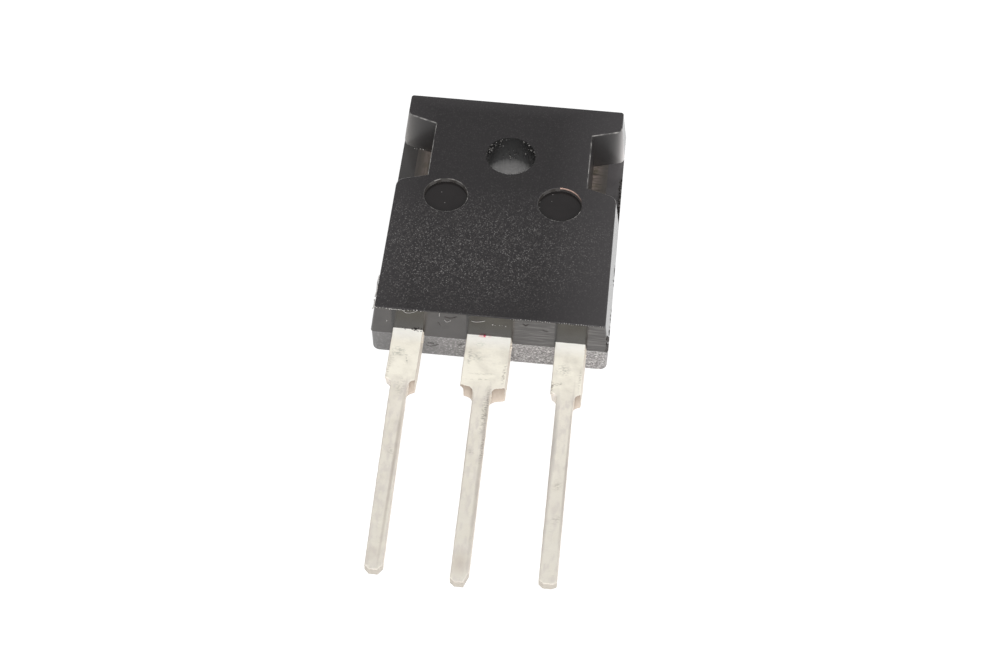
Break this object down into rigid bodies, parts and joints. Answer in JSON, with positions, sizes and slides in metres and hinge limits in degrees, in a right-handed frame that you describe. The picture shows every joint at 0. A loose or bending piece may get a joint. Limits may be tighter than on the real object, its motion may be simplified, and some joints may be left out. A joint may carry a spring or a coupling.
{
  "type": "darlington transistor",
  "caption": "Flat moulded power transistor with a mounting hole, side notches, an exposed copper back and stamped leads with wide shoulders.",
  "frame": {"origin": "where the axis of the mounting hole meets the exposed copper back", "axes": "+X to the right seen from the front with the leads down, +Y along the body from the leads to the plain end, +Z out of the front face along the hole"},
  "size_m": [0.016, 0.0391, 0.0049],
  "materials": {
    "moulding_epoxy": "moulded black epoxy, matt with a fine filler sparkle",
    "tinned_copper": "copper with a matt tin plating, bare at the sheared ends",
    "soft_solder": "dull grey soft solder",
    "silicon": "polished silicon with aluminium pads",
    "aluminium_wire": "bright drawn aluminium"
  },
  "bodies": {
    "root": {"epoxy_body": "moulding_epoxy", "collector_leadframe": "tinned_copper", "base_lead": "tinned_copper", "emitter_lead": "tinned_copper", "die_attach_solder": "soft_solder", "darlington_die": "silicon", "base_bond_wire": "aluminium_wire", "emitter_bond_wire": "aluminium_wire"}
  },
  "joints": []
}
